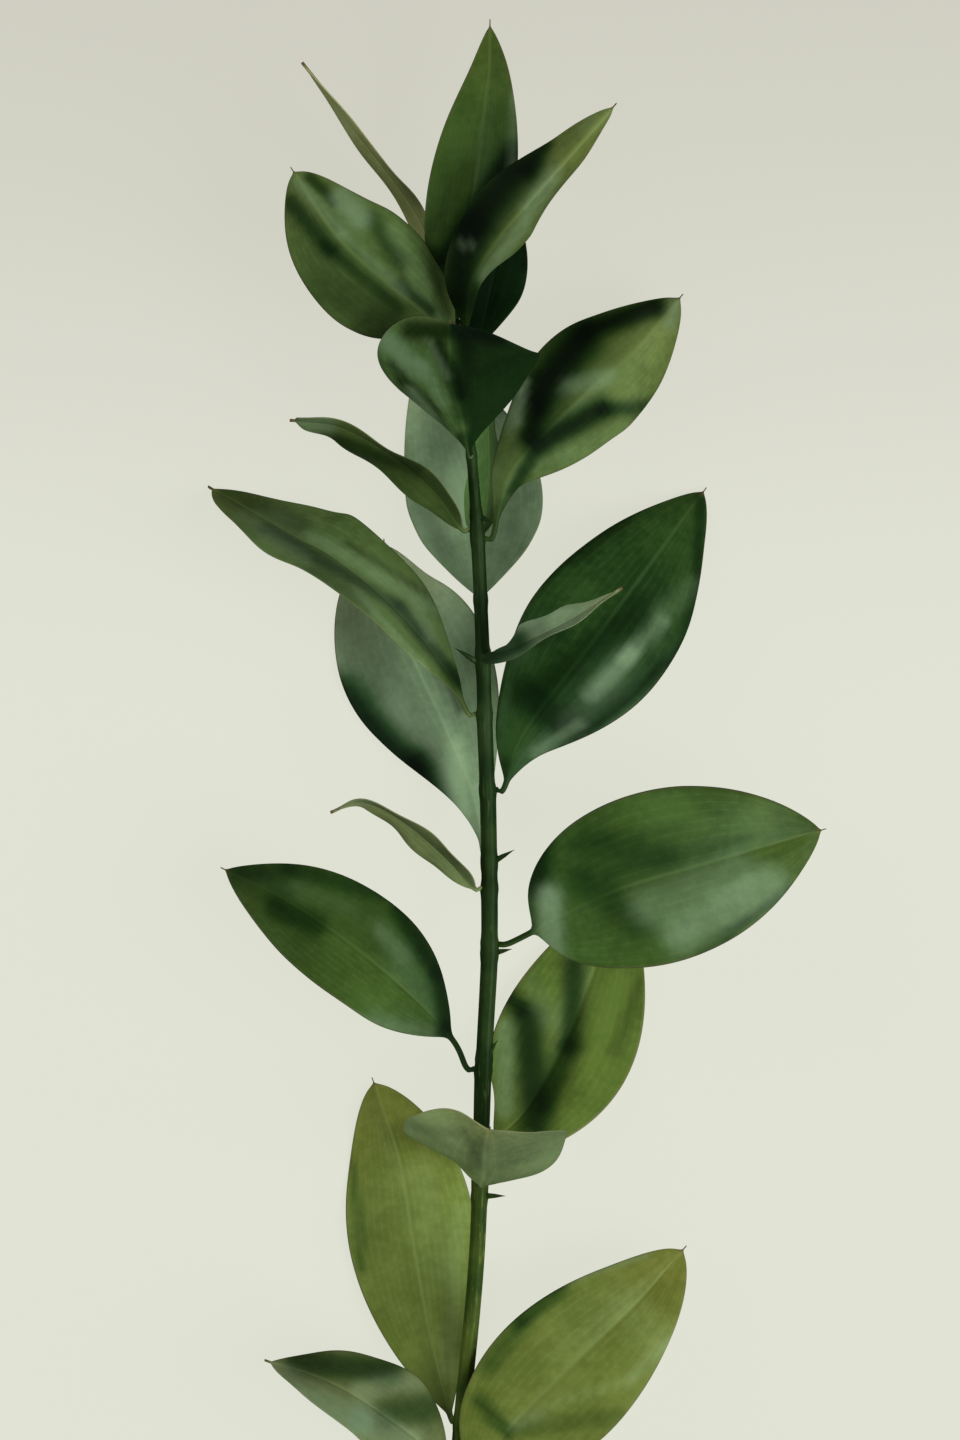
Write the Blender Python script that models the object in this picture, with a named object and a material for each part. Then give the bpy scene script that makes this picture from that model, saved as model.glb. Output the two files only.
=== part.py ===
# A cut stem of ruscus that lies on a flat surface, tip towards +Y and lit face up.
# Lengths below are in millimetres, and meshes are made in metres. The surface is z = 0.

import math
from dataclasses import dataclass

import bmesh
import bpy
import numpy as np
from mathutils import Vector

MM = 0.001

# Where the middle of the leafy part lies in the part's own frame, whose origin is
# under the middle of the whole part.
LEAFY_MIDDLE = (-8.5, 65.4)

# Route of the stem from the slanted cut to the tip: x, y, z and radius.
STEM_ROUTE = [
    (-3.0, -302.0, 2.5, 2.5),
    (-6.5, -270.0, 5.2, 2.4),
    (-8.0, -230.0, 8.8, 2.3),
    (-4.8, -180.0, 13.4, 2.15),
    (-0.8, -135.0, 17.6, 2.05),
    (0.8, -90.0, 21.4, 2.1),
    (2.4, -50.0, 23.8, 2.1),
    (1.2, 0.0, 26.0, 1.95),
    (-0.6, 45.0, 28.0, 1.6),
    (-2.8, 75.0, 29.4, 1.1),
    (-4.0, 101.5, 31.0, 0.7),
]
STEM_SIDES = 10
STEM_RING_STEP = 9.0
CUT_SLANT = 3.2
KNOT_RISE = 0.28
KNOT_REACH = 2.4

# Scales at the knots: height on the stem, page direction in degrees, length, lean.
SCALES = [
    (-268.0, 28.0, 6.5, 24.0),
    (-226.0, 150.0, 7.0, 26.0),
    (-119.5, -52.0, 6.0, 40.0),
    (-85.0, 40.0, 4.5, 30.0),
    (-36.0, -2.0, 6.0, 30.0),
    (13.5, 175.0, 7.5, 30.0),
    (-58.5, -20.0, 4.5, 30.0),
    (51.0, -60.0, 4.0, 30.0),
]
SCALE_RADIUS = 0.9
SCALE_POINT_RADIUS = 0.27
SCALE_ROOT = 1.2
SCALE_SIDES = 6
SCALE_LIFT = 0.35

# Each stalk starts this far from the stem's surface, and bends away from it.
SEAT_GAP = 0.4
STALK_OUT = 1.8
STALK_BEND = 0.5
STALK_HALF_WIDTH = 0.75
TIP_HALF_WIDTH = 0.3
MIDRIB_THICKNESS = 0.9
EDGE_THICKNESS = 0.62

# The waves along a leaf's two edges, which fade where the blade narrows.
HALF_WAVES = 5.5
EDGE_SHIFT = 1.1
FULL_WAVE_HALF_WIDTH = 8.0

LEAF_ROWS = 14
HALF_STRIPS = 3
PATH_STEPS = 24
DIRECTION_REACH = 0.02
CLOSEST_RINGS = 0.9
SMOOTH_BELOW = 40.0
STEM_ROUGHNESS = 0.45
LEAF_ROUGHNESS = 0.4

STEM_GREEN = (0.030, 0.075, 0.022)
DARK_GREEN = (0.022, 0.075, 0.020)
OLIVE_GREEN = (0.110, 0.175, 0.030)
PALE_GREEN = (0.120, 0.220, 0.110)


@dataclass
class Leaf:
    """One leaf. Its midrib runs from its seat on the stem through these points to its tip.

    Points are x, y, z. turn is how far the blade is rolled round the midrib, in degrees
    at the seat, the middle and the tip, where 0 faces up and a plus lifts the right side.
    fold lifts each half, left and right, towards the face.
    """

    name: str
    height: float
    midrib: list
    width: float
    turn: tuple
    fold: tuple = (10.0, 10.0)
    widest: float = 0.43
    fullness: tuple = (0.9, 0.8)
    stalk: float = 0.03
    wave: float = 0.5
    colour: tuple = DARK_GREEN


LEAVES = [
    Leaf("leaf_01", 97.0, [(-9.4, 105.5, 23.5), (-14.8, 125.5, 16.0), (-31.0, 148.0, 15.0),
                           (-44.8, 165.5, 16.0)],
         20.5, (74.0, 80.0, 80.0), (4.0, 4.0), fullness=(1.3, 0.75)),
    Leaf("leaf_02", 99.0, [(-5.4, 112.0, 30.5), (-2.2, 129.0, 31.5), (0.2, 145.0, 32.5),
                           (2.3, 160.0, 32.5), (2.5, 174.0, 32.0)],
         22.5, (0.0, 8.0, 0.0), (8.0, 8.0), fullness=(1.05, 0.8)),
    Leaf("leaf_03", 93.0, [(-2.7, 106.0, 46.0), (4.2, 117.2, 53.0), (13.4, 128.0, 55.0),
                           (33.3, 150.5, 53.0)],
         28.0, (-6.0, -12.0, -12.0), (-50.0, -60.0), fullness=(1.3, 0.8),
         stalk=0.1),
    Leaf("leaf_04", 89.0, [(0.6, 99.0, 23.0), (3.6, 112.0, 18.0), (6.8, 124.0, 16.0),
                           (10.0, 132.0, 15.0)],
         16.5, (0.0, -10.0, -20.0), widest=0.55, fullness=(1.5, 0.8)),
    Leaf("leaf_05", 89.5, [(-11.8, 99.0, 36.0), (-22.6, 107.6, 39.0), (-35.0, 119.0, 40.0),
                           (-46.8, 136.6, 38.0)],
         32.0, (0.0, 0.0, 0.0), (-20.0, -20.0), widest=0.5, fullness=(1.05, 0.62), stalk=0.06),
    Leaf("leaf_06", 66.0, [(-4.5, 75.0, 43.0), (-7.0, 85.0, 56.0), (-7.2, 95.0, 68.0)],
         45.0, (5.0, 12.0, 12.0), (-30.0, -20.0), widest=0.58, fullness=(1.35, 0.55), wave=0.2),
    Leaf("leaf_07", 47.5, [(-11.0, 57.0, 29.0), (-22.0, 66.0, 31.0), (-34.8, 73.0, 33.0),
                           (-47.3, 74.5, 31.0)],
         24.0, (50.0, 75.0, 72.0), widest=0.5, fullness=(0.8, 0.35)),
    Leaf("leaf_08", 30.0, [(-0.5, 45.0, 11.0), (-2.0, 60.0, 3.0), (-8.5, 80.0, 0.6),
                           (-16.0, 101.0, 1.2)],
         35.0, (0.0, 0.0, 0.0), (4.0, 4.0), fullness=(1.2, 1.0), colour=PALE_GREEN),
    Leaf("leaf_09", 46.0, [(2.4, 57.0, 18.0), (2.6, 71.0, 15.0), (1.5, 86.0, 13.0)],
         20.0, (40.0, 66.0, 70.0), colour=OLIVE_GREEN),
    Leaf("leaf_10", 45.0, [(5.2, 54.8, 29.0), (9.5, 64.0, 29.0), (27.5, 82.5, 25.0),
                           (40.0, 93.8, 18.0), (51.2, 107.5, 12.0)],
         34.0, (-4.0, -12.0, -12.0), (-28.0, -28.0), widest=0.6, fullness=(1.15, 0.7)),
    Leaf("leaf_11", 1.5, [(-8.5, 12.0, 27.0), (-21.5, 27.5, 28.0), (-37.0, 40.5, 24.0),
                          (-48.0, 46.5, 18.0), (-69.3, 59.5, 0.4)],
         35.0, (-42.0, -57.0, -52.0), (10.0, 10.0), widest=0.55, fullness=(1.05, 0.8)),
    Leaf("leaf_12", -35.0, [(-2.2, -18.0, 10.0), (-10.0, 0.5, 2.5), (-18.0, 17.8, 0.3),
                            (-23.5, 32.6, 0.3), (-24.5, 46.2, 1.6)],
         39.0, (0.0, 0.0, 0.0), (4.0, 4.0), widest=0.64, fullness=(1.05, 0.68),
         colour=PALE_GREEN),
    Leaf("leaf_13", -17.5, [(11.2, -3.2, 27.0), (28.0, 19.2, 23.0), (43.8, 40.4, 12.0),
                            (57.7, 59.2, 0.4)],
         39.5, (0.0, 2.0, 0.0), (-14.0, -14.0), widest=0.5, fullness=(1.1, 0.74)),
    Leaf("leaf_14", 16.5, [(8.0, 17.5, 38.0), (22.0, 24.2, 43.0), (35.0, 32.5, 43.0)],
         20.0, (60.0, 72.0, 76.0), colour=PALE_GREEN),
    Leaf("leaf_15", -42.0, [(-9.0, -33.6, 30.0), (-19.0, -25.0, 33.0), (-29.0, -20.2, 33.0),
                            (-37.2, -23.0, 30.0)],
         16.0, (50.0, 70.0, 76.0)),
    Leaf("leaf_16", -87.5, [(-8.0, -78.5, 24.0), (-25.0, -61.5, 31.0), (-45.0, -47.0, 29.0),
                            (-65.0, -37.0, 20.0)],
         30.0, (-20.0, -24.0, -10.0), (8.0, 8.0), widest=0.45, stalk=0.13),
    Leaf("leaf_17", -56.0, [(10.5, -54.2, 26.0), (33.0, -42.6, 32.0), (59.0, -34.8, 32.0),
                            (86.5, -27.2, 24.0)],
         43.5, (0.0, 0.0, 0.0), (6.0, 6.0), fullness=(0.52, 0.72), stalk=0.12),
    Leaf("leaf_18", -106.0, [(12.0, -98.0, 10.0), (22.0, -81.0, 2.5), (30.0, -61.0, 0.5),
                             (36.0, -40.0, 2.0)],
         36.5, (0.0, 0.0, 0.0), (8.0, 6.0), colour=OLIVE_GREEN),
    Leaf("leaf_19", -116.0, [(1.0, -112.5, 34.0), (1.2, -105.0, 50.0), (2.5, -98.5, 64.0)],
         45.0, (0.0, 0.0, 0.0), (-26.0, -22.0), fullness=(0.8, 0.6), colour=PALE_GREEN),
    Leaf("leaf_20", -177.0, [(-12.5, -158.0, 5.0), (-17.0, -133.0, 0.8), (-20.5, -112.0, 0.4),
                             (-27.5, -91.0, 2.0)],
         33.0, (0.0, 0.0, 0.0), (4.0, 4.0), widest=0.55, fullness=(0.8, 0.64),
         colour=OLIVE_GREEN),
    Leaf("leaf_21", -188.0, [(-19.0, -178.0, 22.0), (-36.0, -166.5, 25.0), (-54.0, -160.4, 21.0)],
         30.0, (-30.0, -52.0, -52.0), (10.0, 10.0)),
    Leaf("leaf_22", -191.0, [(7.8, -177.5, 18.0), (24.2, -160.8, 20.0), (40.0, -146.2, 15.0),
                             (52.2, -133.0, 10.0)],
         37.0, (0.0, 4.0, 0.0), (6.0, 6.0), fullness=(0.9, 0.64), colour=OLIVE_GREEN),
]


def clear_scene():
    for thing in list(bpy.data.objects):
        bpy.data.objects.remove(thing, do_unlink=True)


def material(name, colour, roughness):
    made = bpy.data.materials.new(name)
    made.use_nodes = True
    shader = made.node_tree.nodes["Principled BSDF"]
    shader.inputs["Base Color"].default_value = (*colour, 1.0)
    shader.inputs["Roughness"].default_value = roughness
    shader.inputs["Metallic"].default_value = 0.0
    return made


def unit(vector):
    return vector / np.linalg.norm(vector)


def smooth_path(points):
    """A smooth curve through the points, as many short steps, with the share of its length."""
    points = np.array(points, float)
    before = 2.0 * points[0] - points[1]
    after = 2.0 * points[-1] - points[-2]
    knots = np.vstack([before, points, after])
    spots = []
    for index in range(1, len(knots) - 2):
        a, b, c, d = knots[index - 1:index + 3]
        for step in range(PATH_STEPS):
            t = step / PATH_STEPS
            spots.append(0.5 * (2 * b + (c - a) * t + (2 * a - 5 * b + 4 * c - d) * t * t
                                + (3 * b - a - 3 * c + d) * t ** 3))
    spots.append(knots[-2])
    spots = np.array(spots)
    lengths = np.linalg.norm(np.diff(spots[:, :3], axis=0), axis=1)
    shares = np.concatenate([[0.0], np.cumsum(lengths)])
    return spots, shares / shares[-1]


def along(path, share):
    """The point at this share of a path's length, and the direction it runs in there."""
    spots, shares = path
    point = np.array([np.interp(share, shares, spots[:, axis]) for axis in range(spots.shape[1])])
    later = min(share + DIRECTION_REACH, 1.0)
    earlier = max(share - DIRECTION_REACH, 0.0)
    ahead = [np.interp(later, shares, spots[:, axis]) for axis in range(3)]
    behind = [np.interp(earlier, shares, spots[:, axis]) for axis in range(3)]
    return point, unit(np.array(ahead) - np.array(behind))


STEM_PATH = smooth_path(STEM_ROUTE)


def stem_at(height):
    """Centre, direction and radius of the stem where it passes this y."""
    spots, shares = STEM_PATH
    share = np.interp(height, spots[:, 1], shares)
    point, direction = along(STEM_PATH, share)
    return point[:3], direction, point[3]


def seat_of(leaf):
    """Where a leaf's stalk starts, just clear of the stem, and the direction it starts in."""
    centre, direction, radius = stem_at(leaf.height)
    outward = np.array(leaf.midrib[0]) - centre
    outward = unit(outward - direction * outward.dot(direction))
    return centre + outward * (radius + KNOT_RISE + SEAT_GAP), outward


def leaf_path(leaf):
    seat, outward = seat_of(leaf)
    onward = unit(np.array(leaf.midrib[0]) - seat)
    bend = seat + STALK_OUT * unit(outward + STALK_BEND * onward)
    return smooth_path([seat, bend] + leaf.midrib)


def half_width(leaf, share):
    """Half of the blade's width at this share of the midrib."""
    if share <= leaf.stalk:
        return STALK_HALF_WIDTH
    blade = (share - leaf.stalk) / (1.0 - leaf.stalk)
    power = math.log(0.5) / math.log(leaf.widest)
    ease = leaf.fullness[0] + (leaf.fullness[1] - leaf.fullness[0]) * blade
    swell = max(math.sin(math.pi * blade ** power), 0.0) ** ease
    least = STALK_HALF_WIDTH + (TIP_HALF_WIDTH - STALK_HALF_WIDTH) * blade
    return max(0.5 * leaf.width * swell, least)


def turn_at(leaf, share):
    """The roll at this share of the midrib, eased through its three values, in radians."""
    seat, middle, tip = leaf.turn
    eased = (seat * (1 - share) * (1 - 2 * share) + middle * 4 * share * (1 - share)
             + tip * share * (2 * share - 1))
    return math.radians(eased)


def leaf_row(leaf, path, share, strips):
    """Middle points and face directions across the blade at this share, left to right."""
    point, direction = along(path, share)
    right = unit(np.cross(direction, (0.0, 0.0, 1.0)))
    face = np.cross(right, direction)
    turn = turn_at(leaf, share)
    right, face = (math.cos(turn) * right + math.sin(turn) * face,
                   math.cos(turn) * face - math.sin(turn) * right)
    half = half_width(leaf, share)
    halves = []
    for side, fold in ((-1, leaf.fold[0]), (1, leaf.fold[1])):
        angle = math.radians(fold)
        outward = side * math.cos(angle) * right + math.sin(angle) * face
        normal = math.cos(angle) * face - side * math.sin(angle) * right
        ripple = math.sin(HALF_WAVES * math.pi * share + side * EDGE_SHIFT + leaf.height)
        fade = min(half / FULL_WAVE_HALF_WIDTH, 1.0)
        steps = []
        for strip in range(1, strips + 1):
            spot = point + outward * half * strip / strips
            lift = leaf.wave * ripple * fade * (strip / strips) ** 2
            steps.append((spot + normal * lift, normal))
        halves.append(steps)
    return list(reversed(halves[0])) + [(point, face)] + halves[1]


def leaf_surfaces(leaf, rows=LEAF_ROWS, strips=HALF_STRIPS):
    """Top and bottom points of the blade. Where it would sink below z = 0 it lies flat."""
    path = leaf_path(leaf)
    top, bottom = [], []
    for row in range(rows + 1):
        share = 0.5 - 0.5 * math.cos(math.pi * row / rows)
        top_row, bottom_row = [], []
        for index, (spot, normal) in enumerate(leaf_row(leaf, path, share, strips)):
            outness = abs(index - strips) / strips
            thickness = MIDRIB_THICKNESS + (EDGE_THICKNESS - MIDRIB_THICKNESS) * outness
            upper = spot + normal * thickness / 2
            lower = spot - normal * thickness / 2
            lift = max(0.0, -min(upper[2], lower[2]))
            upper[2] += lift
            lower[2] += lift
            top_row.append(upper)
            bottom_row.append(lower)
        top.append(top_row)
        bottom.append(bottom_row)
    return top, bottom


def placed(point):
    return ((point[0] + LEAFY_MIDDLE[0]) * MM, (point[1] + LEAFY_MIDDLE[1]) * MM, point[2] * MM)


def object_from(name, mesh_maker, finish):
    """An object made of the mesh that mesh_maker fills, shaded smooth, with its material."""
    bm = bmesh.new()
    mesh_maker(bm)
    bmesh.ops.recalc_face_normals(bm, faces=bm.faces)
    mesh = bpy.data.meshes.new(name)
    bm.to_mesh(mesh)
    bm.free()
    mesh.shade_smooth()
    mesh.set_sharp_from_angle(angle=math.radians(SMOOTH_BELOW))
    thing = bpy.data.objects.new(name, mesh)
    bpy.context.scene.collection.objects.link(thing)
    mesh.materials.append(finish)
    return thing


def triangle_pair(bm, a, b, c, d):
    bm.faces.new((a, b, c))
    bm.faces.new((a, c, d))


def fill_leaf(bm, leaf):
    top, bottom = leaf_surfaces(leaf)
    top = [[bm.verts.new(placed(point)) for point in row] for row in top]
    bottom = [[bm.verts.new(placed(point)) for point in row] for row in bottom]
    last = len(top[0]) - 1
    for row in range(len(top) - 1):
        for strip in range(last):
            corners = [(row, strip), (row, strip + 1), (row + 1, strip + 1), (row + 1, strip)]
            if strip >= HALF_STRIPS:
                corners = corners[1:] + corners[:1]
            triangle_pair(bm, *(top[i][j] for i, j in corners))
            triangle_pair(bm, *(bottom[i][j] for i, j in corners))
        for edge in (0, last):
            triangle_pair(bm, top[row][edge], top[row + 1][edge],
                          bottom[row + 1][edge], bottom[row][edge])
    for row in (0, len(top) - 1):
        for strip in range(last):
            triangle_pair(bm, top[row][strip], top[row][strip + 1],
                          bottom[row][strip + 1], bottom[row][strip])


def stem_heights():
    """Heights of the stem's rings: even steps, with three close ones at each knot."""
    low, high = STEM_ROUTE[0][1], STEM_ROUTE[-1][1]
    knots = [leaf.height for leaf in LEAVES] + [scale[0] for scale in SCALES]
    heights = [knot + shift for knot in knots for shift in (-KNOT_REACH, 0.0, KNOT_REACH)]
    count = round((high - low) / STEM_RING_STEP)
    heights += [low + (high - low) * step / count for step in range(count + 1)]
    kept = [low]
    for height in sorted(heights):
        if height <= high and height - kept[-1] > CLOSEST_RINGS:
            kept.append(height)
    return kept, knots


def stem_ring(height, knots):
    centre, direction, radius = stem_at(height)
    near = min(abs(height - knot) for knot in knots)
    radius = radius + KNOT_RISE * max(0.0, 1.0 - near / KNOT_REACH)
    side = unit(np.cross(direction, (0.0, 0.0, 1.0)))
    up = np.cross(side, direction)
    ring = []
    for corner in range(STEM_SIDES):
        angle = 2 * math.pi * (corner + 0.5) / STEM_SIDES
        ring.append(centre + radius * (math.cos(angle) * side + math.sin(angle) * up))
    return ring


def fill_stem(bm):
    heights, knots = stem_heights()
    rings = []
    for height in heights:
        ring = stem_ring(height, knots)
        if height == heights[0]:
            middle = np.mean(ring, axis=0)
            radius = STEM_ROUTE[0][3]
            ring = [spot - (0.0, CUT_SLANT * (spot[0] - middle[0]) / radius, 0.0) for spot in ring]
        rings.append([bm.verts.new(placed(spot)) for spot in ring])
    for lower, upper in zip(rings, rings[1:]):
        for corner in range(STEM_SIDES):
            after = (corner + 1) % STEM_SIDES
            bm.faces.new((lower[corner], lower[after], upper[after], upper[corner]))
    bm.faces.new(rings[0])
    bm.faces.new(rings[-1])


def fill_scales(bm):
    """Small pointed scales that stand off the stem, with their roots sunk into it."""
    for height, heading, length, lean in SCALES:
        centre, direction, radius = stem_at(height)
        side = unit(np.cross(direction, (0.0, 0.0, 1.0)))
        up = np.cross(side, direction)
        turn = math.radians(heading)
        out = unit(math.cos(turn) * side + SCALE_LIFT * up + math.sin(turn) * direction)
        tilt = math.radians(lean)
        point = unit(math.cos(tilt) * out + math.sin(tilt) * direction)
        root = Vector(placed(centre + point * (radius - SCALE_ROOT)))
        middle = root + Vector(point) * (length + SCALE_ROOT) * MM / 2
        turned = Vector(point).to_track_quat("Z", "Y").to_matrix().to_4x4()
        turned.translation = middle
        bmesh.ops.create_cone(
            bm, cap_ends=True, cap_tris=False, segments=SCALE_SIDES, radius1=SCALE_RADIUS * MM,
            radius2=SCALE_POINT_RADIUS * MM, depth=(length + SCALE_ROOT) * MM, matrix=turned)


def make_stem():
    finish = material("stem_green", STEM_GREEN, STEM_ROUGHNESS)
    stem = object_from("stem", fill_stem, finish)
    scales = object_from("scale_shapes", fill_scales, finish)
    union = stem.modifiers.new("scales", "BOOLEAN")
    union.operation = "UNION"
    union.solver = "EXACT"
    union.object = scales
    scales.hide_render = True
    scales.display_type = "WIRE"
    return stem


def make_leaves():
    for leaf in LEAVES:
        finish = material(leaf.name + "_green", leaf.colour, LEAF_ROUGHNESS)
        object_from(leaf.name, lambda bm, leaf=leaf: fill_leaf(bm, leaf), finish)


def main():
    clear_scene()
    make_stem()
    make_leaves()


if __name__ == "__main__":
    main()
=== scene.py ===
# A cut stem of ruscus that lies on a pale floor, seen from straight above.
# Lengths and places are in millimetres until they reach a mesh, which is in metres. Only the
# floor and the lights are given in metres.

import math

import bpy
import numpy as np
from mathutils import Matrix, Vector, noise


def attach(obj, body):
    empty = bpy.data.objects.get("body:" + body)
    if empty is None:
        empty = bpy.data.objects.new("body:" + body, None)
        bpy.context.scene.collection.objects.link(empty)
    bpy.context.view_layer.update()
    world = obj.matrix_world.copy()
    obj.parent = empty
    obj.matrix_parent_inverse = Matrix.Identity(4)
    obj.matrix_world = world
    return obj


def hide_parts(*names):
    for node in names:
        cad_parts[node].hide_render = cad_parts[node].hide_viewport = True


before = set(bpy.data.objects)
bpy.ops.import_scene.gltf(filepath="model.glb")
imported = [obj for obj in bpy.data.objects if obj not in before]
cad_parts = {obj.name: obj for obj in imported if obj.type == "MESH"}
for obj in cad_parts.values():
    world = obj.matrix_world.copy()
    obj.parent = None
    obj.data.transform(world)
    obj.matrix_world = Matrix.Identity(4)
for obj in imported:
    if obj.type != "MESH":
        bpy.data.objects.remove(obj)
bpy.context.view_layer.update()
print("frame loaded:", len(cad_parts), "solids")

mm = 0.001
leafyMiddle = (-8.5, 65.4)  # the middle of the leafy part, from which x and y below are counted


# Small helpers

def deselectAll():
    if bpy.context.object and bpy.context.object.mode != "OBJECT":
        bpy.ops.object.mode_set(mode="OBJECT")
    bpy.ops.object.select_all(action="DESELECT")


def workOn(thing):
    deselectAll()
    thing.select_set(True)
    bpy.context.view_layer.objects.active = thing


def applyModifier(thing, kind, **settings):
    workOn(thing)
    modifier = thing.modifiers.new(kind.lower(), kind)
    for key, value in settings.items():
        setattr(modifier, key, value)
    bpy.ops.object.modifier_apply(modifier=modifier.name)


def unit(vector):
    return vector / np.linalg.norm(vector)


def readPoints(mesh):
    points = np.zeros(len(mesh.vertices) * 3)
    mesh.vertices.foreach_get("co", points)
    return points.reshape(-1, 3)


def writePoints(mesh, points):
    mesh.vertices.foreach_set("co", np.asarray(points, float).ravel())
    mesh.update()


def toFrame(points):  # millimetres round the leafy middle become metres in the part's own frame
    return (np.asarray(points) + (leafyMiddle[0], leafyMiddle[1], 0.0)) * mm


def smoothPath(points, steps=24):
    points = np.array(points, float)
    knots = np.vstack([2 * points[0] - points[1], points, 2 * points[-1] - points[-2]])
    spots = []
    for index in range(1, len(knots) - 2):
        a, b, c, d = knots[index - 1:index + 3]
        for step in range(steps):
            t = step / steps
            spots.append(0.5 * (2 * b + (c - a) * t + (2 * a - 5 * b + 4 * c - d) * t * t
                                + (3 * b - a - 3 * c + d) * t ** 3))
    spots.append(knots[-2])
    spots = np.array(spots)
    lengths = np.linalg.norm(np.diff(spots[:, :3], axis=0), axis=1)
    shares = np.concatenate([[0.0], np.cumsum(lengths)])
    return {"spots": spots, "shares": shares / shares[-1], "length": shares[-1]}


def alongPath(path, share, reach=0.02):  # the point at this share, and the direction there
    spots, shares = path["spots"], path["shares"]
    point = np.array([np.interp(share, shares, spots[:, axis]) for axis in range(spots.shape[1])])
    ahead = [np.interp(min(share + reach, 1), shares, spots[:, axis]) for axis in range(3)]
    behind = [np.interp(max(share - reach, 0), shares, spots[:, axis]) for axis in range(3)]
    return point, unit(np.array(ahead) - np.array(behind))


# Shader helpers

def newGroup(name, inputs, outputs):
    group = bpy.data.node_groups.new(name, "ShaderNodeTree")
    for label, value in inputs:
        socket = group.interface.new_socket(name=label, in_out="INPUT", socket_type="NodeSocketFloat")
        socket.default_value = value
    for label in outputs:
        group.interface.new_socket(name=label, in_out="OUTPUT", socket_type="NodeSocketFloat")
    return group, group.nodes.new("NodeGroupInput"), group.nodes.new("NodeGroupOutput")


def newMaterial(name):
    made = bpy.data.materials.new(name)
    made.use_nodes = True
    return made, made.node_tree, made.node_tree.nodes["Principled BSDF"]


def addNode(tree, kind, **settings):
    node = tree.nodes.new(kind)
    for key, value in settings.items():
        setattr(node, key, value)
    return node


def wire(tree, source, target):  # a plain value is set on the input, anything else is linked
    if isinstance(source, bpy.types.NodeSocket):
        tree.links.new(source, target)
    else:
        target.default_value = source


def maths(tree, operation, *values):
    node = addNode(tree, "ShaderNodeMath", operation=operation)
    for socket, value in zip(node.inputs, values):
        wire(tree, value, socket)
    return node.outputs[0]


def rangeOf(tree, value, low, high, toLow=0.0, toHigh=1.0):
    node = addNode(tree, "ShaderNodeMapRange", interpolation_type="SMOOTHSTEP")
    wire(tree, value, node.inputs["Value"])
    ends = (("From Min", low), ("From Max", high), ("To Min", toLow), ("To Max", toHigh))
    for label, number in ends:
        wire(tree, number, node.inputs[label])
    return node.outputs["Result"]


def mixColours(tree, share, first, second):
    node = addNode(tree, "ShaderNodeMix", data_type="RGBA")
    wire(tree, share, node.inputs["Factor"])
    wire(tree, first, node.inputs[6])
    wire(tree, second, node.inputs[7])
    return node.outputs[2]


def scaleColour(tree, source, factor):
    node = addNode(tree, "ShaderNodeVectorMath", operation="SCALE")
    wire(tree, source, node.inputs[0])
    wire(tree, factor, node.inputs["Scale"])
    return node.outputs[0]


def multiplyColours(tree, first, second):
    node = addNode(tree, "ShaderNodeVectorMath", operation="MULTIPLY")
    wire(tree, first, node.inputs[0])
    wire(tree, second, node.inputs[1])
    return node.outputs[0]


narrowNoise = (0.35, 0.65)  # noise keeps near its middle, and these ranges spread it out
wideNoise = (0.3, 0.7)


def noiseOf(tree, place, scale, detail=2.0, roughness=0.5):
    node = addNode(tree, "ShaderNodeTexNoise")
    wire(tree, place, node.inputs["Vector"])
    node.inputs["Scale"].default_value = scale
    node.inputs["Detail"].default_value = detail
    node.inputs["Roughness"].default_value = roughness
    return node.outputs["Fac"]


def colour(values):
    return (values[0], values[1], values[2], 1.0)


# Leaf finishes. bladePlace says where a point lies on its blade: how far across, from -1 to 1,
# its share of the length and the half width there. The other blade attribute holds the painted
# light and shade there, as a factor on the leaf's own colour, how much painted sheen covers it
# and how far it turns yellow.

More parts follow.
